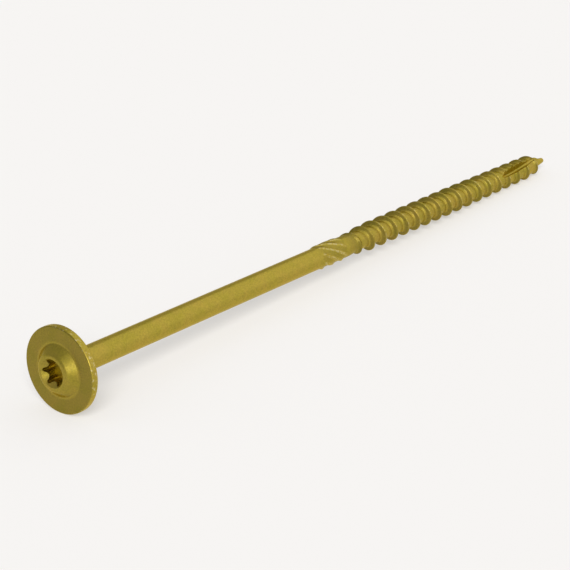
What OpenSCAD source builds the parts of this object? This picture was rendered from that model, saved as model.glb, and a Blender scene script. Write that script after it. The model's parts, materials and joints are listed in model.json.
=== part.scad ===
// Washer head screw for timber: a wide flanged head with a six-lobe recess, a plain shank,
// a ribbed friction section, a coarse right-hand thread and a fluted cutting point.
// The screw lies on the floor, on the rim of its head and on one crest near its point.

/* [Head] */
// Outside diameter of the flange
head_d = 22; // [20:0.5:26]
// Thickness of the flange at its rim
flange_t = 2; // [1.6:0.1:2.6]
// Rounding of the two edges of the rim
rim_r = 0.4; // [0.2:0.1:0.7]
// Diameter of the raised boss where its foot meets the flange
boss_d = 13.8; // [13:0.2:16]
// Diameter of the flat ring on top of the boss
boss_top_d = 7.8; // [7.6:0.1:9]
// Height of the boss above the flange
boss_h = 2.3; // [1.8:0.1:3]
// Rounding of the shoulder of the boss
boss_shoulder_r = 1.5; // [1:0.1:1.8]
// Rounding in the foot of the boss
boss_foot_r = 0.5; // [0.3:0.1:0.9]

/* [Drive recess] */
// Width of the recess across two opposite pockets
recess_d = 6.75; // [6.5:0.05:7]
// Width of the recess across two opposite lobes
recess_lobe_d = 4.85; // [4.7:0.05:5.1]
// Radius in the bottom of each pocket
pocket_r = 0.55; // [0.45:0.01:0.6]
// Depth of the straight walls below the top of the boss
recess_depth = 3.4; // [2.6:0.1:3.8]
// Diameter of the cone in the floor of the recess
recess_floor_d = 4.4; // [3:0.1:4.6]
// Depth of the cone in the floor of the recess
recess_floor_h = 0.7; // [0.3:0.1:1]
// Diameter of the sloped mouth
mouth_d = 7.3; // [7:0.1:7.6]
// Depth of the sloped mouth
mouth_h = 1.4; // [0.6:0.1:1.6]

/* [Shank] */
// Length from the underside of the flange to the point
screw_l = 220; // [200:1:260]
// Diameter of the plain shank
shank_d = 6.1; // [5.6:0.1:6.2]
// Diameter of the cone under the head
neck_d = 8.6; // [8.2:0.1:9.4]
// Length of the cone under the head
neck_l = 1.4; // [1:0.1:3]

/* [Friction section] */
// Plain length between the ribs and the thread
ribs_gap = 1.8; // [0.5:0.1:20]
// Length of the ribbed stretch
ribs_l = 12; // [6:0.5:16]
// Number of ribs
rib_count = 8; // [5:1:10]
// Height of the ribs above the shank
rib_h = 0.38; // [0.2:0.02:0.6]
// Advance of a rib in one whole turn
rib_lead = 38; // [24:1:80]
// Width of the flat top of a rib
rib_top_w = 0.3; // [0.1:0.05:0.5]
// Width of a rib at its foot
rib_foot_w = 1.3; // [0.8:0.1:1.6]

/* [Thread] */
// Outside diameter of the thread
thread_d = 8.1; // [7.6:0.1:8.4]
// Outside diameter of the thread where it ends near the point
thread_tip_d = 7.3; // [6.8:0.1:7.6]
// Diameter of the core between the crests
core_d = 5.4; // [5:0.1:5.5]
// Distance from crest to crest
pitch = 5.72; // [5:0.01:6.2]
// Length from the start of the thread to the point
thread_l = 109.5; // [80:0.5:110]
// Length over which the thread rises to its full height
rise_l = 10.5; // [6:0.5:14]
// How early the thread rises: one for an even slope, less for an earlier rise
rise_share = 0.6; // [0.5:0.05:1]
// Width of the flat on the crest
crest_w = 0.35; // [0.2:0.05:0.6]
// Width of the thread where its flanks meet their fillets
flank_w = 1.4; // [1:0.1:1.8]
// Width of the thread at the feet of its fillets
foot_w = 2.6; // [2:0.1:3.2]
// Share of the thread's height that its fillets take up
fillet_share = 0.22; // [0.1:0.01:0.4]

/* [Point] */
// Length over which the core narrows towards the point
taper_l = 10; // [8:0.5:12]
// How late the core narrows: one for an even cone, more for a rounder one
taper_share = 1.6; // [1:0.1:2]
// Length over which the thread comes down from its full diameter
thread_taper_l = 56; // [30:1:70]
// Diameter of the small point at its foot
point_d = 3; // [2.4:0.1:3.4]
// Diameter of the small point at its end
point_end_d = 1.7; // [1.2:0.1:1.9]
// Length of the small point
point_l = 6; // [5:0.5:8]
// Distance from the point back to the crest that the screw lies on
rest_back = 12.5; // [12:0.1:16]

/* [Cutting flute] */
// Distance from the point back to the middle of the flute
flute_back = 19; // [16:0.5:24]
// Radius of the round sweep of the flute along the screw
flute_sweep_r = 27; // [22:1:60]
// Width of the flute in its floor
flute_w = 1.2; // [0.6:0.1:2]
// Lean of the steep side of the flute
flute_lean = 16; // [8:1:40]
// Lean of the flatter side of the flute
flute_slope = 34; // [30:1:60]
// Distance from the axis of the screw to the floor of the flute
flute_floor = 0.9; // [0.6:0.1:1.8]
// Place of the flute round the screw, from straight down
flute_turn = 225; // [0:1:359]
// Skew of the flute against the axis of the screw
flute_skew = 4; // [-8:1:8]

/* [Hidden] */

// Overrun that lets cuts break cleanly through a surface
over = 0.5;
// Segments in each rounding, each pocket and each lobe of the recess
arc_n = 8;
// Steps of the thread in one turn, and rings along the ribs
turn_n = 32;
rib_rings = 12;
// Step between the shank and the parts that leave it
seat_gap = 0.06;

head_r = head_d / 2;
boss_r = boss_d / 2;
boss_top_r = boss_top_d / 2;
shank_r = shank_d / 2;
neck_r = neck_d / 2;
core_r = core_d / 2;
recess_r = recess_d / 2;
recess_lobe_r = recess_lobe_d / 2;
flute_r = flute_w / 2;

// Places along the screw, measured from the front of the flange
point_z = flange_t + screw_l;
thread_z = point_z - thread_l;
rest_z = point_z - rest_back;
ribs_z = thread_z - ribs_gap - ribs_l;

// Lying: the rim of the head and the crest at rest_z touch the floor together
rest_crest_r = crest_r(rest_z);
rest_run = rest_z - (flange_t - rim_r);
rest_drop = head_r - rim_r - rest_crest_r;
tilt = atan(rest_drop / rest_run) + asin(rim_r / norm([rest_run, rest_drop]));
axis_h = (flange_t - rim_r) * sin(tilt) + (head_r - rim_r) * cos(tilt) + rim_r;
back_x = boss_h * cos(tilt) + boss_top_r * sin(tilt);
front_x = point_z * cos(tilt);

// Points along an arc about a centre
function arc(centre, r, from, to) =
    [for (k = [0 : arc_n])
        let (a = from + (to - from) * k / arc_n)
        centre + r * [cos(a), sin(a)]];

// The points without the first and the last
function between(points) = [for (k = [1 : len(points) - 2]) points[k]];

// Share that grows evenly from 0 to 1 between two places
function ramp(z, from, to) = min(1, max(0, (z - from) / (to - from)));

// Share that grows from 0 to 1 between two places with soft ends
function ease(z, from, to) = let (t = ramp(z, from, to)) t * t * (3 - 2 * t);

// Radius of the thread's crest at a place along the screw
function crest_r(z) =
    (thread_d + (thread_tip_d - thread_d) * ramp(z, point_z - thread_taper_l, rest_z)) / 2;

// Radius of the core, from inside the shank down to inside the small point
function root_r(z) =
    let (start_r = shank_r - seat_gap, end_r = point_end_d / 4)
    start_r + (core_r - start_r) * ease(z, thread_z, thread_z + rise_l / 2)
        - (core_r - end_r) * ramp(z, point_z - taper_l, point_z - point_l / 2) ^ taper_share;

// Share of its full height that the thread has at a place along the screw
function thread_share(z) =
    ramp(z, thread_z, thread_z + rise_l) ^ rise_share * (1 - ease(z, rest_z, point_z));

// Outline of the boss between its flat top and the flange, as radius and place
function boss_flank() =
    let (
        w = boss_r - boss_top_r,
        r = boss_shoulder_r + boss_foot_r,
        straight = sqrt(w * w + (boss_h - r) * (boss_h - r) - r * r),
        slope = atan2(w * r + (boss_h - r) * straight, w * straight - (boss_h - r) * r)
    )
    concat(
        arc([boss_top_r, boss_shoulder_r - boss_h], boss_shoulder_r, -90, slope - 90),
        arc([boss_r, -boss_foot_r], boss_foot_r, slope + 90, 90)
    );

// Head and shank as one turned body
module turned_body() {
    rotate_extrude($fn = 96)
        polygon(concat(
            [[0, -boss_h]],
            boss_flank(),
            arc([head_r - rim_r, rim_r], rim_r, -90, 0),
            arc([head_r - rim_r, flange_t - rim_r], rim_r, 0, 90),
            [
                [neck_r, flange_t],
                [shank_r, flange_t + neck_l],
                [shank_r, thread_z],
                [0, thread_z]
            ]
        ));
}

// Outline of the six-lobe recess: pockets and lobes that run into each other
module six_lobe() {
    pocket_c = recess_r - pocket_r;
    lobe_r = (pocket_r ^ 2 - recess_lobe_r ^ 2 - pocket_c ^ 2
        + 2 * recess_lobe_r * pocket_c * cos(30))
        / (2 * (recess_lobe_r - pocket_c * cos(30) - pocket_r));
    lobe_c = recess_lobe_r + lobe_r;
    join = atan2(lobe_c * sin(30), lobe_c * cos(30) - pocket_c);
    function turned(points, a) =
        [for (p = points) [p[0] * cos(a) - p[1] * sin(a), p[0] * sin(a) + p[1] * cos(a)]];
    polygon([for (k = [0 : 5])
        each concat(
            turned(arc([pocket_c, 0], pocket_r, -join, join), 60 * k + 30),
            turned(between(arc([lobe_c, 0], lobe_r, 150 + join, 210 - join)), 60 * k + 60)
        )]);
}

// Drive recess with a sloped mouth and a cone in its floor
module recess() {
    mouth_spread = (mouth_d - recess_floor_d) * over / mouth_h;
    translate([0, 0, -boss_h - over])
        linear_extrude(recess_depth + over)
            six_lobe();
    translate([0, 0, -boss_h - over])
        cylinder(h = mouth_h + over, d1 = mouth_d + mouth_spread, d2 = recess_floor_d, $fn = 96);
    translate([0, 0, recess_depth - boss_h - over])
        cylinder(h = over, d = recess_floor_d, $fn = 96);
    translate([0, 0, recess_depth - boss_h])
        cylinder(h = recess_floor_h, d1 = recess_floor_d, d2 = 0, $fn = 96);
}

// Ribbed collar: low ridges on a steep helix, fading out at both ends
module friction_ribs() {
    valley_r = shank_r + seat_gap;
    pitch_a = 360 / rib_count;
    top_a = rib_top_w / valley_r * 90 / PI;
    foot_a = rib_foot_w / valley_r * 90 / PI;
    rib = [[-foot_a, 0], [-top_a, 1], [top_a, 1], [foot_a, 0]];
    n = rib_count * len(rib);
    points = [for (k = [0 : rib_rings], m = [0 : rib_count - 1], p = rib)
        let (
            z = ribs_l * k / rib_rings,
            fade = ease(z, 0, ribs_l / 6) * (1 - ease(z, ribs_l * 5 / 6, ribs_l)),
            a = pitch_a * m + p[0] + 360 * z / rib_lead,
            r = valley_r + p[1] * fade * rib_h
        )
        [r * cos(a), r * sin(a), z]];
    walls = [for (k = [0 : rib_rings - 1], i = [0 : n - 1])
        let (
            a = k * n + i,
            b = k * n + (i + 1) % n
        )
        each [[a, a + n, b], [b, a + n, b + n]]];
    ends = [
        [for (i = [0 : n - 1]) i],
        [for (i = [n - 1 : -1 : 0]) rib_rings * n + i]
    ];
    translate([0, 0, ribs_z])
        polyhedron(points = points, faces = concat(walls, ends), convexity = 4);
}

// Core and thread in one sweep: one strip, a pitch wide, wound round the axis.
// Each column of points is the thread's section at one step of the turn.
module threaded_core() {
    section = [
        [0, 0],
        [(pitch - foot_w) / 2, 0],
        [(pitch - flank_w) / 2, fillet_share],
        [(pitch - crest_w) / 2, 1],
        [(pitch + crest_w) / 2, 1],
        [(pitch + flank_w) / 2, fillet_share],
        [(pitch + foot_w) / 2, 0]
    ];
    rows = len(section);
    from_z = thread_z - pitch - seat_gap;
    steps = floor((point_z - point_end_d / 2 - from_z - pitch) / pitch * turn_n);
    function place(i, j) =
        let (
            z = from_z + pitch * i / turn_n + section[j][0],
            a = 360 * ((from_z + pitch / 2 - rest_z) / pitch + i / turn_n),
            r = root_r(z) + section[j][1] * thread_share(z) * (crest_r(z) - root_r(z))
        )
        [r * cos(a), r * sin(a), z];
    function at(i, j) =
        j == rows ? at(i + turn_n, 0)
        : i <= steps ? i * rows + j
        : (steps + 1) * rows + i - steps - 1;
    points = concat(
        [for (i = [0 : steps], j = [0 : rows - 1]) place(i, j)],
        [for (i = [steps + 1 : steps + turn_n]) place(i, 0)],
        [
            [0, 0, from_z + pitch / 2],
            [0, 0, from_z + pitch * steps / turn_n + pitch / 2]
        ]
    );
    first = len(points) - 2;
    last = len(points) - 1;
    strip = [for (i = [0 : steps - 1], j = [0 : rows - 1])
        each [
            [at(i, j), at(i, j + 1), at(i + 1, j + 1)],
            [at(i, j), at(i + 1, j + 1), at(i + 1, j)]
        ]];
    start_cap = concat(
        [for (i = [0 : turn_n - 1]) [first, at(i, 0), at(i + 1, 0)]],
        [for (j = [0 : rows - 1]) [first, at(0, j + 1), at(0, j)]]
    );
    end_cap = concat(
        [for (i = [steps : steps + turn_n - 1]) [last, at(i + 1, 0), at(i, 0)]],
        [for (j = [0 : rows - 1]) [last, at(steps, j), at(steps, j + 1)]]
    );
    polyhedron(points = points, faces = concat(strip, start_cap, end_cap), convexity = 10);
}

// Small blunt point that the thread runs out on
module small_point() {
    end_r = point_end_d / 2;
    rotate_extrude($fn = 48)
        polygon(concat(
            [[0, point_z - point_l], [point_d / 2, point_z - point_l]],
            arc([0, point_z - end_r], end_r, 20, 90)
        ));
}

// Path of the round cutter that opens the flute, with one steep and one flatter side
module flute() {
    mid_z = point_z - flute_back;
    edge_at = flute_sweep_r - flute_r;
    function hub(lean) = flute_r * cos(lean) + (edge_at + flute_r * sin(lean)) * tan(lean);
    rotate([0, 0, flute_turn])
        translate([flute_floor + flute_sweep_r, 0, mid_z])
            rotate([90 + flute_skew, 0, 0])
                rotate_extrude($fn = 96)
                    polygon(concat(
                        [[0, hub(flute_slope)], [0, -hub(flute_lean)]],
                        arc([edge_at, 0], flute_r, flute_lean - 90, 90 - flute_slope)
                    ));
}

// The whole screw along its own axis, with the front of the flange at zero
module screw_body() {
    difference() {
        union() {
            turned_body();
            friction_ribs();
            threaded_core();
            small_point();
        }
        recess();
        flute();
    }
}

module screw() {
    color([0.62, 0.55, 0.24])
        translate([(back_x - front_x) / 2, 0, axis_h])
            rotate([0, 90 + tilt, 0])
                screw_body();
}

screw();
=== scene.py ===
"""Washer head screw in yellow zinc, lying on a pale studio floor.

The screw is turned, rolled and cut along its own axis, with the front of its flange at zero,
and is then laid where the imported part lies. All sizes are in metres.
"""

import json
import math

import bmesh
import bpy
from bpy.props import FloatProperty, FloatVectorProperty, IntProperty, PointerProperty
from mathutils import Matrix, Vector


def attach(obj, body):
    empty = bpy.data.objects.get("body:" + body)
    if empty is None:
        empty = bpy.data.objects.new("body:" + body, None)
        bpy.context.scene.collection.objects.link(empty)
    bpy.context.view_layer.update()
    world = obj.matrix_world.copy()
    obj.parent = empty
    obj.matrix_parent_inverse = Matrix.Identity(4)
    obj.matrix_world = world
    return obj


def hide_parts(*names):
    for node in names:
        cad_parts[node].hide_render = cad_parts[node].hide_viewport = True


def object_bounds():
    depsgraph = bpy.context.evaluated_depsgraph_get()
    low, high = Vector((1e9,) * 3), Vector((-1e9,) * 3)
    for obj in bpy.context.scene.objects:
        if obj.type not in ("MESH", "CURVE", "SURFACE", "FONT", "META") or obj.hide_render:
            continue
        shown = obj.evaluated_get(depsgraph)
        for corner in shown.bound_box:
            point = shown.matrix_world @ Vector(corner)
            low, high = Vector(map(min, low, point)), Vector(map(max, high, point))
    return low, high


bl_info = {
    "name": "Washer head screw",
    "version": (1, 0, 0),
    "blender": (4, 5, 0),
    "location": "3D View > Sidebar > Screw",
    "description": "Builds a long timber screw with a washer head and its studio",
    "category": "Object",
}

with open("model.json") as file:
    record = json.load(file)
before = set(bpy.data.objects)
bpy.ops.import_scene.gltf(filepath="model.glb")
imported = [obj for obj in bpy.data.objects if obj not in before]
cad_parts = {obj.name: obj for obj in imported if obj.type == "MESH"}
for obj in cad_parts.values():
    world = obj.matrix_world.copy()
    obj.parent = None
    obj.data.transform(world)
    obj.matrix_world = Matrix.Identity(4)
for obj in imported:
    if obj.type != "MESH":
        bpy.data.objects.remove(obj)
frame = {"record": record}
cad_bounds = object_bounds()

MM = 0.001
TURN = 2 * math.pi
ORIGIN = Vector((0, 0, 0))
ALONG = Vector((0, 0, 1))

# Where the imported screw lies: its axis, the middle of the ring on its boss, and its mounts
MOUNTS = {mount["name"]: mount for mount in frame["record"]["mounts"]}
AXIS = -Vector(MOUNTS["drive_recess"]["axis"]).normalized()
BOSS_TOP = Vector(MOUNTS["drive_recess"]["pos_m"])
DIP = math.asin(-AXIS.z)

# Height of the boss, which lies between the ring on it and the front of the flange
BOSS_HEIGHT = 2.3 * MM


def along(point):
    """Distance of a point along the screw from the front of the flange."""
    return (Vector(point) - BOSS_TOP).dot(AXIS) - BOSS_HEIGHT


SEAT_AT = along(MOUNTS["under_head_seat"]["pos_m"])
THREAD_AT = along(MOUNTS["thread"]["pos_m"])
POINT_AT = (cad_bounds[1].x - BOSS_TOP.x) / AXIS.x - BOSS_HEIGHT


def size(name, description, value):
    """A length that a user may change."""
    return FloatProperty(name=name, description=description, default=value,
                         unit="LENGTH", precision=5)


def angle(name, description, degrees):
    """An angle that a user may change."""
    return FloatProperty(name=name, description=description, default=math.radians(degrees),
                         subtype="ANGLE")


def share(name, description, value):
    """A share or strength that a user may change."""
    return FloatProperty(name=name, description=description, default=value, precision=3)


def tint(name, description, value):
    """A colour that a user may change."""
    return FloatVectorProperty(name=name, description=description, default=value,
                               subtype="COLOR", size=3)


class ScrewSizes(bpy.types.PropertyGroup):
    """Sizes of the screw"""

    head_d: size("Head diameter", "Outside diameter of the flange", 22 * MM)
    flange_t: size("Flange", "Thickness of the flange at its rim", SEAT_AT)
    rim_r: size("Rim rounding", "Rounding of the two edges of the rim", 0.4 * MM)
    boss_d: size("Boss foot", "Diameter of the boss where its foot meets the flange", 13.8 * MM)
    boss_top_d: size("Boss ring", "Diameter of the flat ring on top of the boss", 7.8 * MM)
    boss_h: size("Boss height", "Height of the boss above the flange", BOSS_HEIGHT)
    boss_shoulder_r: size("Boss shoulder", "Rounding of the shoulder of the boss", 1.5 * MM)
    boss_foot_r: size("Boss hollow", "Rounding in the foot of the boss", 0.5 * MM)

    recess_d: size("Recess", "Width of the recess across two opposite pockets", 6.75 * MM)
    recess_lobe_d: size("Recess lobes", "Width of the recess across opposite lobes", 4.85 * MM)
    pocket_r: size("Pocket", "Radius in the bottom of each pocket", 0.55 * MM)
    recess_depth: size("Recess depth", "Depth of the straight walls below the ring", 3.4 * MM)
    recess_floor_d: size("Recess floor", "Diameter of the cone in the recess's floor", 4.4 * MM)
    recess_floor_h: size("Floor depth", "Depth of the cone in the recess's floor", 0.7 * MM)
    mouth_d: size("Mouth", "Diameter of the recess's sloped mouth", 7.3 * MM)
    mouth_h: size("Mouth depth", "Depth of the recess's sloped mouth", 1.4 * MM)

    shank_d: size("Shank", "Diameter of the plain shank", 6.1 * MM)
    neck_d: size("Neck", "Diameter of the cone under the head", 8.6 * MM)
    neck_l: size("Neck length", "Length of the cone under the head", 1.4 * MM)

    ribs_gap: size("Rib gap", "Plain length between the ribs and the thread", 1.8 * MM)
    ribs_l: size("Rib length", "Length of the ribbed stretch", 12 * MM)
    rib_count: IntProperty(name="Ribs", description="Number of ribs", default=8, min=3)
    rib_h: size("Rib height", "Height of the ribs above the shank", 0.38 * MM)
    rib_lead: size("Rib lead", "Advance of a rib in one whole turn", 38 * MM)
    rib_top_w: size("Rib top", "Width of the flat top of a rib", 0.3 * MM)
    rib_foot_w: size("Rib foot", "Width of a rib at its foot", 1.3 * MM)

    thread_d: size("Thread", "Outside diameter of the thread", 8.1 * MM)
    thread_tip_d: size("Thread end", "Outside diameter of the thread near the point", 7.3 * MM)
    core_d: size("Core", "Diameter of the core between the crests", 5.4 * MM)
    pitch: size("Pitch", "Distance from crest to crest", 5.72 * MM)
    rise_l: size("Thread rise", "Length in which the thread rises to its full height", 10.5 * MM)
    rise_share: share("Early rise", "Less than one lets the thread rise earlier", 0.6)
    crest_w: size("Crest", "Width of the flat on the crest", 0.35 * MM)
    flank_w: size("Flanks", "Width of the thread where flanks meet fillets", 1.4 * MM)
    foot_w: size("Fillets", "Width of the thread at the feet of its fillets", 2.6 * MM)
    fillet_share: share("Fillet share", "Share of the thread's height in its fillets", 0.22)

    taper_l: size("Core taper", "Length in which the core narrows towards the point", 10 * MM)
    taper_share: share("Late taper", "More than one lets the core narrow later", 1.6)
    thread_taper_l: size("Thread taper", "Length in which the thread comes down", 56 * MM)
    point_d: size("Point foot", "Diameter of the small point at its foot", 3 * MM)
    point_end_d: size("Point end", "Diameter of the small point at its end", 1.7 * MM)
    point_l: size("Point", "Length of the small point", 6 * MM)
    rest_back: size("Resting crest", "Distance from point to the crest on the floor", 12.5 * MM)

    flute_back: size("Flute place", "Distance from the point to the flute's middle", 19 * MM)
    flute_sweep_r: size("Flute sweep", "Radius of the flute's sweep along the screw", 27 * MM)
    flute_w: size("Flute width", "Width of the flute in its floor", 1.2 * MM)
    flute_lean: angle("Steep side", "Lean of the steep side of the flute", 16)
    flute_slope: angle("Flat side", "Lean of the flatter side of the flute", 34)
    flute_floor: size("Flute floor", "Distance from the screw's axis to the flute", 0.9 * MM)
    flute_turn: angle("Flute turn", "Place of the flute round the screw", 225)
    flute_skew: angle("Flute skew", "Skew of the flute against the axis", 4)

    point_at: size("Point place", "Distance from the flange's front to the point", POINT_AT)
    thread_at: size("Thread place", "Distance from the flange's front to the thread", THREAD_AT)


class ZincFinish(bpy.types.PropertyGroup):
    """Colours and polish of the zinc coat"""

    gold: tint("Gold", "Colour of most of the coat", (0.39, 0.294, 0.032))
    olive: tint("Olive", "Greener colour in patches of the coat", (0.353, 0.282, 0.023))
    amber: tint("Amber", "Redder colour in patches of the coat", (0.418, 0.298, 0.037))
    patch_w: size("Patches", "Rough size of the colour patches", 4 * MM)
    grain_w: size("Grain", "Rough size of the fine grain", 0.35 * MM)
    grain_h: size("Grain height", "Height of the fine grain", 0.012 * MM)
    roughness_low: share("Polish", "Roughness where the grain is low", 0.28)
    roughness_high: share("Dullness", "Roughness where the grain is high", 0.42)
    speckle_w: size("Speckle", "Rough size of the light and dark speckle", 0.4 * MM)
    speckle: share("Speckle strength", "How far the speckle changes the coat's light", 0.14)
    line_w: size("Rolling lines", "Width of the fine lines on the rolled thread", 0.2 * MM)
    line_round: size("Line length", "Length that a radian round counts as in the lines", 0.35 * MM)
    lines: share("Line strength", "How far the rolling lines change the coat's light", 0.13)
    thread_dullness: share("Thread dullness", "Roughness that the thread adds", 0.06)
    # Painted shade: the flange's front and the thread's flanks are darkened in colour
    painted_shade: share("Darker faces", "How much darker the flange's front and the flanks are", 0.35)
    # The worn colour marks wear on the rim, and is partly painted highlight on lips and rib tops
    bare: tint("Worn", "Colour of the coat where it is worn thin", (0.75, 0.66, 0.38))
    wear_w: size("Worn specks", "Rough size of the worn specks", 0.7 * MM)
    wear: share("Wear", "How bare the worn specks are", 0.5)
    edge: tint("Edge", "Tint of the coat where it is seen at a flat angle", (1, 0.85, 0.35))
    gloss: share("Gloss", "Weight of the clear passivation over the zinc", 0.32)
    gloss_roughness: share("Gloss roughness", "Roughness of the clear passivation", 0.2)


class StudioLook(bpy.types.PropertyGroup):
    """Floor, lights and camera of the studio"""

    floor_colour: tint("Floor", "Colour of the floor and the background", (0.93, 0.913, 0.896))
    floor_w: size("Floor width", "Width of the floor", 8)
    floor_glow: share("Floor glow", "Share of the floor that keeps its colour in shadow", 0.42)
    sky: share("Sky", "Strength of the soft light from all sides", 0.52)
    side: share("Side light", "Strength of the very broad light from the right", 1.7)
    side_angle: angle("Side light width", "Angle that the very broad light fills", 176)
    key: share("Key light", "Strength of the broad light from right of the camera", 0.85)
    key_angle: angle("Key width", "Angle that the broad light fills", 44)
    cast: share("Shadow light", "Strength of the light that casts the shadow", 2.5)
    cast_angle: angle("Shadow softness", "Angle that the shadow's light fills", 30)
    lens: FloatProperty(name="Lens", description="Focal length on a 36 mm wide sensor, in mm",
                        default=111.32, unit="CAMERA")


# Steps of a whole turn, a small arc, an arc of the recess, and the flute's wheel and its edge
ROUND_STEPS = 96
ARC_STEPS = 10
LOBE_STEPS = 12
FLUTE_STEPS = 160
FLUTE_ARC_STEPS = 16
# Rings along the ribbed stretch and along one turn of the thread
RIB_RINGS = 32
THREAD_RINGS = 36
# Number of pockets, and of lobes, in the recess
LOBES = 6
# A rib rises over this share of its length at one end, and comes down over as much at the other
RIB_FADE = 1 / 6
# Length of the end of the screw that the flute lies in
FLUTE_REACH = 34 * MM
# Overrun of each cutter beyond the surface that it cuts through
OVERRUN = 0.5 * MM
# Points nearer than this are one point
WELD = 0.0005 * MM
# Width over which the corners of ribs and thread are softened, and the places looked at in it
SOFT_W = 0.12 * MM
SOFT_PLACES = (-1.0, -0.66, -0.33, 0.0, 0.33, 0.66, 1.0)
# Faces that meet at more than this keep a sharp edge
SHARP = math.radians(26)


def ramp(at, start, end):
    """Share that grows evenly from 0 to 1 between two places."""
    return min(1.0, max(0.0, (at - start) / (end - start)))


def ease(at, start, end):
    """Share that grows from 0 to 1 between two places with soft ends."""
    grown = ramp(at, start, end)
    return grown * grown * (3 - 2 * grown)


def arc(centre, radius, start, end, steps=ARC_STEPS):
    """Points along an arc, with its angles in degrees."""
    turns = [math.radians(start + (end - start) * k / steps) for k in range(steps + 1)]
    return [(centre[0] + radius * math.cos(turn), centre[1] + radius * math.sin(turn))
            for turn in turns]


def ridge_share(off, top_w, foot_w, knee=None):
    """Height share of a ridge at a distance from its middle.

    A ridge with fillets has a knee above them, given as its width and height share.
    """
    places = [(top_w / 2, 1.0), (foot_w / 2, 0.0)]
    if knee:
        places.insert(1, (knee[0] / 2, knee[1]))
    if off <= places[0][0]:
        return 1.0
    for (near, high), (far, low) in zip(places, places[1:]):
        if off <= far:
            return high + (low - high) * (off - near) / (far - near)
    return 0.0


def softened(share_at, off):
    """Mean of a height share around a distance, which rounds the ridge's corners."""
    heights = [share_at(abs(off + SOFT_W * place)) for place in SOFT_PLACES]
    return sum(heights) / len(heights)


def to_nearest(off, spacing):
    """Distance to the nearest of a row of evenly spaced places."""
    return abs((off + spacing / 2) % spacing - spacing / 2)


def thread_radius(s, at, around):
    """Radius of the core and its thread at a place along and an angle round the screw."""
    rest_at = s.point_at - s.rest_back
    down = ramp(at, s.point_at - s.thread_taper_l, rest_at)
    crest = (s.thread_d + (s.thread_tip_d - s.thread_d) * down) / 2
    # The core steps down from the shank, and inside the small point it narrows to half of its end
    stepped = ease(at, s.thread_at, s.thread_at + s.rise_l / 2)
    narrowed = ramp(at, s.point_at - s.taper_l, s.point_at - s.point_l / 2) ** s.taper_share
    core = s.shank_d / 2 + (s.core_d - s.shank_d) / 2 * stepped
    core -= (s.core_d / 2 - s.point_end_d / 4) * narrowed
    risen = ramp(at, s.thread_at, s.thread_at + s.rise_l) ** s.rise_share
    risen *= 1 - ease(at, rest_at, s.point_at)
    off = to_nearest(at - rest_at - s.pitch * around / TURN, s.pitch)
    knee = (s.flank_w, s.fillet_share)
    height = softened(lambda near: ridge_share(near, s.crest_w, s.foot_w, knee), off)
    return core + height * risen * (crest - core)


def point_radius(s, at):
    """Radius of the small blunt point."""
    end_r = s.point_end_d / 2
    foot_at = s.point_at - s.point_l
    cap_at = s.point_at - end_r
    if at < foot_at:
        return 0.0
    if at > cap_at:
        return math.sqrt(max(0.0, end_r ** 2 - (at - cap_at) ** 2))
    return s.point_d / 2 + (end_r - s.point_d / 2) * (at - foot_at) / (cap_at - foot_at)


def ribs_start(s):
    """Place along the screw where the ribs begin."""
    return s.thread_at - s.ribs_gap - s.ribs_l


def head_front(s):
    """Middle of the flange's front on the screw as it lies."""
    return BOSS_TOP + AXIS * s.boss_h


def rib_radius(s, at, around):
    """Radius of the shank and its ribs at a place along and an angle round the screw."""
    ribs_at = ribs_start(s)
    fade_l = s.ribs_l * RIB_FADE
    fade = ease(at, ribs_at, ribs_at + fade_l)
    fade *= 1 - ease(at, ribs_at + s.ribs_l - fade_l, ribs_at + s.ribs_l)
    turned = around - TURN * (at - ribs_at) / s.rib_lead
    off = to_nearest(turned, TURN / s.rib_count) * s.shank_d / 2
    height = softened(lambda near: ridge_share(near, s.rib_top_w, s.rib_foot_w), off)
    return s.shank_d / 2 + height * fade * s.rib_h


def form(verts, radius_at):
    """Moves points in or out to the radius that a function gives for their place and angle."""
    for vert in verts:
        around = math.atan2(vert.co.y, vert.co.x)
        radius = radius_at(vert.co.z, around)
        vert.co.x = radius * math.cos(around)
        vert.co.y = radius * math.sin(around)


def made_object(name, mesh):
    """Turns a finished bmesh into an object in the scene."""
    data = bpy.data.meshes.new(name)
    mesh.to_mesh(data)
    mesh.free()
    made = bpy.data.objects.new(name, data)
    bpy.context.scene.collection.objects.link(made)
    return made


def lathe(mesh, outline, steps=ROUND_STEPS):
    """Turns an outline of (radius, place) points once round the axis."""
    verts = [mesh.verts.new((radius, 0, at)) for radius, at in outline]
    edges = [mesh.edges.new(pair) for pair in zip(verts, verts[1:])]
    bmesh.ops.spin(mesh, geom=verts + edges, cent=ORIGIN, axis=ALONG, dvec=ORIGIN,
                   angle=TURN, steps=steps, use_merge=True, use_duplicate=False)
    bmesh.ops.remove_doubles(mesh, verts=mesh.verts, dist=WELD)


def once_each(parts):
    """Parts of a mesh in the order in which they first come, which sets don't keep."""
    return list(dict.fromkeys(parts))


def open_ring(mesh):
    """The points and edges of the ring where the screw is still open."""
    edges = [edge for edge in mesh.edges if edge.is_boundary]
    return once_each(vert for edge in edges for vert in edge.verts) + edges


def carry_on(mesh, ring, length, turn, steps):
    """Carries an open ring along the axis while it turns, and gives the ring at the end."""
    made = bmesh.ops.spin(mesh, geom=ring, cent=ORIGIN, axis=ALONG, dvec=ALONG * (length / steps),
                          angle=turn, steps=steps, use_merge=False, use_duplicate=False)
    return made["geom_last"]


def repeat_along(mesh, start, length, times):
    """Repeats all that lies beyond a place, until it stands there so many times in a row."""
    faces = [face for face in mesh.faces if face.calc_center_median().z > start]
    stretch = once_each(edge for face in faces for edge in face.edges) + faces
    stretch += once_each(vert for face in faces for vert in face.verts)
    for k in range(1, times):
        copy = bmesh.ops.duplicate(mesh, geom=stretch)["geom"]
        moved = [part for part in copy if isinstance(part, bmesh.types.BMVert)]
        bmesh.ops.translate(mesh, verts=moved, vec=ALONG * (length * k))
    seams = [vert for vert in mesh.verts if vert.is_boundary]
    bmesh.ops.remove_doubles(mesh, verts=seams, dist=WELD)


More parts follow.
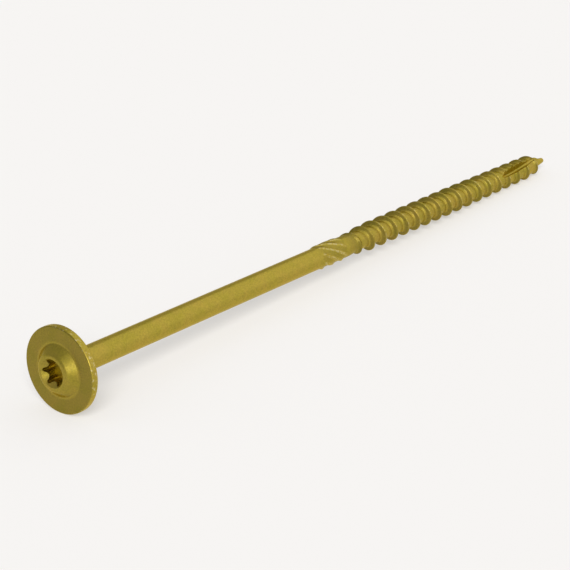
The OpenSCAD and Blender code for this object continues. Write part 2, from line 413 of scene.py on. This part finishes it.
def added(mesh, before):
    """The points of a mesh that weren't there before."""
    return [vert for vert in mesh.verts if vert not in before]


def head_outline(s):
    """Half outline of the head, neck and shank, from the middle of the boss to the ribs."""
    # The straight side of the boss touches the rounding of its shoulder and that of its foot
    flat = (s.boss_d - s.boss_top_d) / 2
    both = s.boss_shoulder_r + s.boss_foot_r
    rise = s.boss_h - both
    straight = math.sqrt(flat ** 2 + rise ** 2 - both ** 2)
    slope = math.atan2(flat * both + rise * straight, flat * straight - rise * both)
    slope = math.degrees(slope)
    rim_at = s.head_d / 2 - s.rim_r
    shoulder = (s.boss_top_d / 2, s.boss_shoulder_r - s.boss_h)
    return [
        (0, -s.boss_h),
        *arc(shoulder, s.boss_shoulder_r, -90, slope - 90),
        *arc((s.boss_d / 2, -s.boss_foot_r), s.boss_foot_r, slope + 90, 90),
        *arc((rim_at, s.rim_r), s.rim_r, -90, 0),
        *arc((rim_at, s.flange_t - s.rim_r), s.rim_r, 0, 90),
        (s.neck_d / 2, s.flange_t),
        (s.shank_d / 2, s.flange_t + s.neck_l),
        (s.shank_d / 2, ribs_start(s)),
    ]


def wire_to_screw(s):
    """The whole screw before it is cut: head, shank, ribs, thread and point in one skin."""
    mesh = bmesh.new()
    lathe(mesh, head_outline(s))

    before = set(mesh.verts)
    ring = carry_on(mesh, open_ring(mesh), s.ribs_l, TURN * s.ribs_l / s.rib_lead, RIB_RINGS)
    form(added(mesh, before), lambda at, around: rib_radius(s, at, around))

    # One part of a turn and one whole turn, which is then repeated as far as the point
    before = set(mesh.verts)
    turns, part = divmod((s.point_at - (s.thread_at - s.ribs_gap)) / s.pitch, 1)
    ring = carry_on(mesh, ring, part * s.pitch, TURN * part, round(THREAD_RINGS * part))
    carry_on(mesh, ring, s.pitch, TURN, THREAD_RINGS)
    repeat_along(mesh, s.point_at - s.pitch * turns, s.pitch, int(turns))
    rolled = added(mesh, before)
    form(rolled, lambda at, around: max(thread_radius(s, at, around), point_radius(s, at)))
    end = [vert for vert in rolled if s.point_at - vert.co.z < WELD]
    bmesh.ops.remove_doubles(mesh, verts=end, dist=WELD)
    bmesh.ops.recalc_face_normals(mesh, faces=mesh.faces)
    return made_object("washer_head_screw", mesh)


def lathe_tool(name, outline, steps=ROUND_STEPS, place=None):
    """A closed turned cutter."""
    mesh = bmesh.new()
    lathe(mesh, outline, steps)
    if place:
        bmesh.ops.transform(mesh, matrix=place, verts=mesh.verts)
    bmesh.ops.recalc_face_normals(mesh, faces=mesh.faces)
    return made_object(name, mesh)


def star_outline(s):
    """Outline of the recess: pockets and lobes in turn, which run into each other."""
    half = 180 / LOBES
    cos_half, sin_half = math.cos(math.radians(half)), math.sin(math.radians(half))
    pocket_c = s.recess_d / 2 - s.pocket_r
    lobe_in = s.recess_lobe_d / 2
    # With this radius a lobe touches the pockets on both sides of it
    lobe_r = s.pocket_r ** 2 - lobe_in ** 2 - pocket_c ** 2 + 2 * lobe_in * pocket_c * cos_half
    lobe_r /= 2 * (lobe_in - pocket_c * cos_half - s.pocket_r)
    lobe_c = lobe_in + lobe_r
    join = math.degrees(math.atan2(lobe_c * sin_half, lobe_c * cos_half - pocket_c))
    pocket = arc((pocket_c, 0), s.pocket_r, -join, join, LOBE_STEPS)
    lobe = arc((lobe_c, 0), lobe_r, 180 - half + join, 180 + half - join, LOBE_STEPS)[1:-1]
    points = []
    for k in range(LOBES):
        for shape, halves in ((pocket, 2 * k + 1), (lobe, 2 * k + 2)):
            turn = Matrix.Rotation(math.radians(half * halves), 2)
            points += [turn @ Vector(point) for point in shape]
    return points


def star_tool(s):
    """The six-lobe punch for the recess."""
    mesh = bmesh.new()
    top = -s.boss_h - OVERRUN
    face = mesh.faces.new([mesh.verts.new((*point, top)) for point in star_outline(s)])
    pushed = bmesh.ops.extrude_face_region(mesh, geom=[face])
    moved = [part for part in pushed["geom"] if isinstance(part, bmesh.types.BMVert)]
    bmesh.ops.translate(mesh, verts=moved, vec=ALONG * (s.recess_depth + OVERRUN))
    bmesh.ops.recalc_face_normals(mesh, faces=mesh.faces)
    return made_object("recess_punch", mesh)


def mouth_tool(s):
    """The countersink that slopes the mouth of the recess."""
    slope = (s.mouth_d - s.recess_floor_d) / 2 / s.mouth_h
    return lathe_tool("mouth_countersink", [
        (0, -s.boss_h - OVERRUN),
        (s.mouth_d / 2 + slope * OVERRUN, -s.boss_h - OVERRUN),
        (s.recess_floor_d / 2, s.mouth_h - s.boss_h),
        (0, s.mouth_h - s.boss_h),
    ])


def floor_tool(s):
    """The drill that leaves a cone in the floor of the recess."""
    floor_at = s.recess_depth - s.boss_h
    return lathe_tool("floor_drill", [
        (0, floor_at - OVERRUN),
        (s.recess_floor_d / 2, floor_at - OVERRUN),
        (s.recess_floor_d / 2, floor_at),
        (0, floor_at + s.recess_floor_h),
    ])


def flute_tool(s):
    """The round-edged wheel that cuts the flute, with one steep and one flatter side."""
    edge_r = s.flute_w / 2
    edge_at = s.flute_sweep_r - edge_r
    rounded = arc((edge_at, 0), edge_r, math.degrees(s.flute_lean) - 90,
                  90 - math.degrees(s.flute_slope), FLUTE_ARC_STEPS)
    # How far from its middle each side of the wheel meets its axle
    hub = [edge_r * math.cos(lean) + (edge_at + edge_r * math.sin(lean)) * math.tan(lean)
           for lean in (s.flute_lean, s.flute_slope)]
    place = (Matrix.Rotation(s.flute_turn, 4, "Z")
             @ Matrix.Translation((s.flute_floor + s.flute_sweep_r, 0, s.point_at - s.flute_back))
             @ Matrix.Rotation(TURN / 4 + s.flute_skew, 4, "X"))
    return lathe_tool("flute_wheel", [(0, -hub[0]), *rounded, (0, hub[1])], FLUTE_STEPS, place)


def cut(body, tool):
    """Cuts a tool's shape out of a body and puts the tool away."""
    modifier = body.modifiers.new("cut", "BOOLEAN")
    modifier.operation = "DIFFERENCE"
    modifier.solver = "EXACT"
    modifier.object = tool
    whole = body.data
    graph = bpy.context.evaluated_depsgraph_get()
    body.data = bpy.data.meshes.new_from_object(body.evaluated_get(graph))
    body.modifiers.remove(modifier)
    bpy.data.meshes.remove(whole)
    bpy.data.objects.remove(tool)


def without(mesh, unwanted):
    """Deletes the faces whose middle lies at an unwanted place along the axis."""
    gone = [face for face in mesh.faces if unwanted(face.calc_center_median().z)]
    bmesh.ops.delete(mesh, geom=gone, context="FACES")


def cut_stretch(body, tools, inside):
    """Cuts one stretch of the screw: takes it off, closes it, cuts it and joins it on again."""
    stretch = bmesh.new()
    stretch.from_mesh(body.data)
    without(stretch, lambda at: not inside(at))
    rim = [edge for edge in stretch.edges if edge.is_boundary]
    seam_at = rim[0].verts[0].co.z
    bmesh.ops.holes_fill(stretch, edges=rim, sides=0)
    bmesh.ops.recalc_face_normals(stretch, faces=stretch.faces)
    piece = made_object("stretch", stretch)
    for tool in tools:
        cut(piece, tool)

    whole = bmesh.new()
    whole.from_mesh(body.data)
    without(whole, inside)
    whole.from_mesh(piece.data)
    seam = [vert for vert in whole.verts if abs(vert.co.z - seam_at) < WELD]
    on_seam = set(seam)
    lid = [face for face in whole.faces if on_seam.issuperset(face.verts)]
    bmesh.ops.delete(whole, geom=lid, context="FACES")
    bmesh.ops.remove_doubles(whole, verts=seam, dist=WELD)
    whole.to_mesh(body.data)
    whole.free()
    bpy.data.objects.remove(piece)


def lay_down(body, s):
    """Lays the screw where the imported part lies."""
    place = Matrix.Translation(head_front(s))
    body.data.transform(place @ Matrix.Rotation(TURN / 4 + DIP, 4, "Y"))


def smooth(body):
    """Smooth faces with sharp edges where they meet at a steep angle."""
    body.data.shade_smooth()
    body.data.set_sharp_from_angle(angle=SHARP)


class Shader:
    """A new material and the nodes that it is made of."""

    def __init__(self, name):
        self.material = bpy.data.materials.new(name)
        self.material.use_nodes = True
        self.tree = self.material.node_tree
        self.tree.nodes.clear()

    def put(self, socket, value):
        """Links a socket to another, or sets it to a number or colour."""
        if isinstance(value, bpy.types.NodeSocket):
            self.tree.links.new(value, socket)
        else:
            socket.default_value = value

    def node(self, kind, inputs=None):
        """Adds a node, and links or sets its inputs, which go by name or number."""
        made = self.tree.nodes.new(f"ShaderNode{kind}")
        for key, value in (inputs or {}).items():
            self.put(made.inputs[key], value)
        return made

    def math(self, operation, *values):
        """A sum, difference or other result of one or two values."""
        made = self.node("Math", dict(enumerate(values)))
        made.operation = operation
        return made.outputs["Value"]

    def product(self, first, second):
        """One value times another."""
        return self.math("MULTIPLY", first, second)

    def greatest(self, first, *others):
        """The greatest of some values."""
        for other in others:
            first = self.math("MAXIMUM", first, other)
        return first

    def mapped(self, value, span, low=0.0, high=1.0):
        """A value brought from a span to one between low and high, and held at its ends."""
        made = self.node("MapRange", dict(enumerate((value, *span, low, high))))
        return made.outputs["Result"]

    def noise(self, point, width, detail):
        """Noise whose spots have a rough width."""
        made = self.node("TexNoise", {"Vector": point, "Scale": 1 / width, "Detail": detail})
        return made.outputs["Fac"]

    def ramped(self, value, stops):
        """The colour at a value in a row of (place, colour) stops."""
        made = self.node("ValToRGB", {"Fac": value})
        row = made.color_ramp.elements
        row[0].position, row[-1].position = stops[0][0], stops[-1][0]
        for place, _ in stops[1:-1]:
            row.new(place)
        for stop, (_, colour) in zip(row, stops):
            stop.color = (*colour, 1)
        return made.outputs["Color"]

    def scaled(self, colour, factor):
        """A colour made lighter or darker."""
        made = self.node("VectorMath")
        made.operation = "SCALE"
        self.put(made.inputs[0], colour)
        self.put(made.inputs["Scale"], factor)
        return made.outputs["Vector"]

    def mixed(self, factor, below, above):
        """Two colours mixed by a factor."""
        made = self.node("Mix", {"Factor": factor})
        made.data_type = "RGBA"
        pair = [socket for socket in made.inputs if socket.type == "RGBA"]
        for socket, colour in zip(pair, (below, above)):
            self.put(socket, colour)
        return next(socket for socket in made.outputs if socket.type == "RGBA")

    def finished(self, surface):
        """The material, once its surface is linked to its output."""
        self.node("OutputMaterial", {"Surface": surface})
        return self.material


# Stretches in which wear, painted shade and painted highlight change on the coat, measured
# outwards from the flange's radius, the crests', the core's, and the shank's
RIM = (-0.45 * MM, -0.1 * MM)
LIP = (-0.22 * MM, -0.08 * MM)
FLANK = (0.02 * MM, 0.4 * MM)
RIB_FOOT = (0.03 * MM, 0.15 * MM)
RIB_TOP = (0.12 * MM, 0.25 * MM)
# The same, measured along the screw: behind the flange's front, and into the ribs or thread
FRONT = (0.05 * MM, 0.2 * MM)
FADE = 2 * MM
# Shares of the painted shade on the boss and between ribs, and what a crest's lip is spared of it
BOSS_PAINTED_SHADE = 0.4
RIB_PAINTED_SHADE = 0.5
LIP_SPARED = 0.6
# Span that most of a noise lies in, and the places in it of olive, gold and amber
MOST_NOISE = (0.3, 0.7)
PATCH_PLACES = (0.3, 0.52, 0.72)
# Spans of a noise in which it makes worn specks, and how worn lips and ribs are beside the rim
RIM_SPECKS = (0.57, 0.69)
LIP_SPECKS = (0.48, 0.7)
RIB_SPECKS = (0.42, 0.62)
# On lips and rib tops the worn specks are partly wear and partly painted highlight
LIP_WEAR_AND_HIGHLIGHT = 0.6
RIB_WEAR_AND_HIGHLIGHT = 0.85


def beyond(radius, span):
    """A span that is measured outwards from a radius."""
    return radius + span[0], radius + span[1]


class CoatPlaces:
    """Where a point of the coat is on the screw, and its share in each part of the screw."""

    def __init__(self, shader, s):
        # The point on the screw's own axes: along it from the flange's front, and two across it
        level = Matrix.Rotation(-DIP, 3, "Y")
        coordinates = shader.node("TexCoord")
        centred = shader.node("Mapping", {
            "Vector": coordinates.outputs["Object"],
            "Rotation": (0, -DIP, 0),
            "Location": -(level @ head_front(s)),
        })
        self.point = centred.outputs["Vector"]
        at, aside, up = shader.node("SeparateXYZ", {"Vector": self.point}).outputs
        squares = shader.math("ADD", shader.product(aside, aside), shader.product(up, up))
        radius = shader.math("SQRT", squares)
        self.at, self.radius = at, radius
        self.around = shader.math("ARCTAN2", aside, up)

        # Stretches of the screw
        ribs_at = ribs_start(s)
        ribs_end = ribs_at + s.ribs_l
        self.thread = shader.mapped(at, (s.thread_at - FADE, s.thread_at + FADE))
        ribs = shader.product(shader.mapped(at, (ribs_at, ribs_at + FADE)),
                              shader.mapped(at, (ribs_end - FADE / 2, ribs_end), 1, 0))

        # Faces and edges of the flange, the thread and the ribs, for wear, painted shade and
        # painted highlight
        self.rim = shader.mapped(radius, beyond(s.head_d / 2, RIM))
        # Painted shade on the flange's front, weaker on the boss
        foot = (s.boss_d / 2, s.boss_d / 2 + s.boss_foot_r)
        self.front = shader.product(shader.mapped(radius, foot, BOSS_PAINTED_SHADE, 1),
                                    shader.mapped(at, FRONT, 1, 0))
        # The crests' lips: spared some painted shade and given worn specks, partly painted
        # highlight
        taper = (s.point_at - s.thread_taper_l, s.point_at - s.rest_back)
        crest_r = shader.mapped(at, taper, s.thread_d / 2, s.thread_tip_d / 2)
        below_crest = shader.math("SUBTRACT", radius, crest_r)
        self.lip = shader.product(shader.mapped(below_crest, LIP), self.thread)
        # Painted shade on the thread's flanks, less of it on the lips
        painted_flank_shade = shader.product(shader.mapped(radius, beyond(s.core_d / 2, FLANK)), self.thread)
        self.painted_flank_shade = shader.math("SUBTRACT", painted_flank_shade, shader.product(self.lip, LIP_SPARED))
        # Painted shade in the hollows between the ribs
        between = shader.mapped(radius, beyond(s.shank_d / 2, RIB_FOOT), RIB_PAINTED_SHADE, 0)
        self.painted_shade_between_ribs = shader.product(between, ribs)
        # Rib tops, given worn specks that are partly wear and partly painted highlight
        self.rib_top_wear_and_highlight = shader.product(shader.mapped(radius, beyond(s.shank_d / 2, RIB_TOP)), ribs)


def yellow_zinc(finish, s):
    """Satin yellow zinc over steel: patches, fine grain, rolling lines, painted shade, worn edges.
    """
    shader = Shader("yellow_zinc")
    on = CoatPlaces(shader, s)

    # Long spots round the screw, as rolling leaves them on the thread
    round_point = shader.node("CombineXYZ", {
        "X": on.at,
        "Y": shader.product(on.around, finish.line_round),
        "Z": on.radius,
    })
    lines = shader.noise(round_point.outputs["Vector"], finish.line_w, detail=3)
    lines = shader.product(shader.mapped(lines, MOST_NOISE, -finish.lines, finish.lines),
                           on.thread)

    patches = shader.noise(on.point, finish.patch_w, detail=4)
    tints = (finish.olive, finish.gold, finish.amber)
    colour = shader.ramped(patches, list(zip(PATCH_PLACES, tints)))
    speckle = shader.noise(on.point, finish.speckle_w, detail=2)
    speckle = shader.mapped(speckle, MOST_NOISE, 1 - finish.speckle, 1 + finish.speckle)

    # Painted shade: darker flange front and thread flanks, less on the boss and between the ribs
    dark = shader.greatest(on.front, on.painted_flank_shade, on.painted_shade_between_ribs)
    light = shader.mapped(dark, (0, 1), 1, 1 - finish.painted_shade)
    light = shader.product(light, shader.math("ADD", speckle, lines))
    coat = shader.scaled(colour, light)

    # Worn specks on rim, crest lips and rib tops; on lips and rib tops partly painted highlight
    wear = shader.noise(on.point, finish.wear_w, detail=3)
    worn = shader.greatest(
        shader.product(on.rim, shader.mapped(wear, RIM_SPECKS)),
        shader.product(on.lip, shader.mapped(wear, LIP_SPECKS, 0, LIP_WEAR_AND_HIGHLIGHT)),
        shader.product(on.rib_top_wear_and_highlight, shader.mapped(wear, RIB_SPECKS, 0, RIB_WEAR_AND_HIGHLIGHT)),
    )
    surface = shader.mixed(shader.product(worn, finish.wear), coat, (*finish.bare, 1))

    grain = shader.noise(on.point, finish.grain_w, detail=3)
    relief = shader.math("ADD", grain, lines)
    bump = shader.node("Bump", {"Distance": finish.grain_h, "Height": relief})
    dullness = shader.mapped(grain, MOST_NOISE, finish.roughness_low, finish.roughness_high)
    duller = shader.product(on.thread, finish.thread_dullness)

    metal = shader.node("BsdfPrincipled", {
        "Base Color": surface,
        "Metallic": 1,
        "Roughness": shader.math("ADD", dullness, duller),
        "Normal": bump.outputs["Normal"],
        "Specular Tint": (*finish.edge, 1),
        "Coat Weight": finish.gloss,
        "Coat Roughness": finish.gloss_roughness,
    })
    return shader.finished(metal.outputs["BSDF"])


class SCREW_OT_make_screw(bpy.types.Operator):
    """Turns, rolls, punches and coats the washer head screw"""

    bl_idname = "screw.make_screw"
    bl_label = "Washer head screw"

    def execute(self, context):
        s = context.scene.screw_sizes
        screw = wire_to_screw(s)
        recess_tools = [star_tool(s), mouth_tool(s), floor_tool(s)]
        cut_stretch(screw, recess_tools, lambda at: at < s.flange_t + s.neck_l)
        cut_stretch(screw, [flute_tool(s)], lambda at: at > s.point_at - FLUTE_REACH)
        lay_down(screw, s)
        smooth(screw)
        screw.data.materials.append(yellow_zinc(context.scene.zinc_finish, s))
        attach(screw, "root")
        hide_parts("screw")
        return {"FINISHED"}


# Camera: its place from the middle of the flange's front, how far it looks down and is turned
# in degrees, the width of its sensor in mm, and the nearest and furthest that it sees
CAMERA_FROM_HEAD = Vector((-0.25987, -0.27224, 0.18048))
CAMERA_DOWN = 23.06
CAMERA_TURN = -51.78
SENSOR_W = 36
NEAREST = 0.01
FURTHEST = 50
# Bearings and heights, in degrees, of the side light, the key light and the shadow's light
SIDE_FROM = (-70, 10)
KEY_FROM = (-118, 20)
CAST_FROM = (-142, 37)


def floor(studio):
    """A wide pale floor, part of which keeps its colour in the shadow where it is looked at."""
    mesh = bmesh.new()
    bmesh.ops.create_grid(mesh, x_segments=1, y_segments=1, size=studio.floor_w / 2)
    made = made_object("studio_floor", mesh)
    shader = Shader("studio_floor")
    colour = (*studio.floor_colour, 1)
    plain = shader.node("BsdfDiffuse", {"Color": colour})
    glow = shader.node("Emission", {"Color": colour})
    rays = shader.node("LightPath").outputs
    looked_at = shader.greatest(rays["Is Camera Ray"], rays["Is Glossy Ray"],
                                rays["Is Transmission Ray"])
    both = shader.node("MixShader", {
        "Fac": shader.product(looked_at, studio.floor_glow),
        1: plain.outputs["BSDF"],
        2: glow.outputs["Emission"],
    })
    made.data.materials.append(shader.finished(both.outputs["Shader"]))


def direction(bearing, height):
    """The direction to a bearing and height in degrees."""
    turn, tilt = math.radians(bearing), math.radians(height)
    level = math.cos(tilt)
    return Vector((level * math.cos(turn), level * math.sin(turn), math.sin(tilt)))


def sky(studio):
    """Soft white light from all sides."""
    world = bpy.data.worlds.new("studio")
    world.use_nodes = True
    light = world.node_tree.nodes["Background"]
    light.inputs["Color"].default_value = (1, 1, 1, 1)
    light.inputs["Strength"].default_value = studio.sky
    bpy.context.scene.world = world


def distant_light(name, come_from, width, strength):
    """A far light that comes from a bearing and height and fills an angle."""
    data = bpy.data.lights.new(name, "SUN")
    data.energy = strength
    data.angle = width
    made = bpy.data.objects.new(name, data)
    made.rotation_euler = direction(*come_from).to_track_quat("Z", "Y").to_euler()
    bpy.context.scene.collection.objects.link(made)
    return made


def camera(studio, s):
    """The photograph's camera."""
    data = bpy.data.cameras.new("camera")
    data.lens = studio.lens
    data.sensor_width = SENSOR_W
    data.clip_start = NEAREST
    data.clip_end = FURTHEST
    made = bpy.data.objects.new("camera", data)
    made.location = head_front(s) + CAMERA_FROM_HEAD
    made.rotation_euler = (math.radians(90 - CAMERA_DOWN), 0, math.radians(CAMERA_TURN))
    bpy.context.scene.collection.objects.link(made)
    bpy.context.scene.camera = made


class SCREW_OT_make_studio(bpy.types.Operator):
    """Lays the floor, sets the lights and places the camera"""

    bl_idname = "screw.make_studio"
    bl_label = "Studio"

    def execute(self, context):
        studio = context.scene.studio_look
        floor(studio)
        sky(studio)
        # The side and key lights show in gloss alone, and the shadow's light on dull faces alone
        side = distant_light("side", SIDE_FROM, studio.side_angle, studio.side)
        key = distant_light("key", KEY_FROM, studio.key_angle, studio.key)
        cast = distant_light("cast", CAST_FROM, studio.cast_angle, studio.cast)
        side.visible_diffuse = key.visible_diffuse = False
        cast.visible_glossy = False
        camera(studio, context.scene.screw_sizes)
        context.scene.view_settings.view_transform = "Standard"
        return {"FINISHED"}


class SCREW_PT_panel(bpy.types.Panel):
    """Lists the makers of the screw and its studio"""

    bl_label = "Washer head screw"
    bl_space_type = "VIEW_3D"
    bl_region_type = "UI"
    bl_category = "Screw"

    def draw(self, context):
        column = self.layout.column()
        scene = context.scene
        for maker in (SCREW_OT_make_screw, SCREW_OT_make_studio):
            column.operator(maker.bl_idname)
        for group in (scene.screw_sizes, scene.zinc_finish, scene.studio_look):
            for name in group.__annotations__:
                column.prop(group, name)


CLASSES = (ScrewSizes, ZincFinish, StudioLook,
           SCREW_OT_make_screw, SCREW_OT_make_studio, SCREW_PT_panel)


def register():
    for made in CLASSES:
        bpy.utils.register_class(made)
    bpy.types.Scene.screw_sizes = PointerProperty(type=ScrewSizes)
    bpy.types.Scene.zinc_finish = PointerProperty(type=ZincFinish)
    bpy.types.Scene.studio_look = PointerProperty(type=StudioLook)


def unregister():
    del bpy.types.Scene.studio_look
    del bpy.types.Scene.zinc_finish
    del bpy.types.Scene.screw_sizes
    for made in reversed(CLASSES):
        bpy.utils.unregister_class(made)


def main():
    """Registers the makers and runs them in order."""
    register()
    bpy.ops.screw.make_screw()
    bpy.ops.screw.make_studio()


if __name__ == "__main__":
    main()
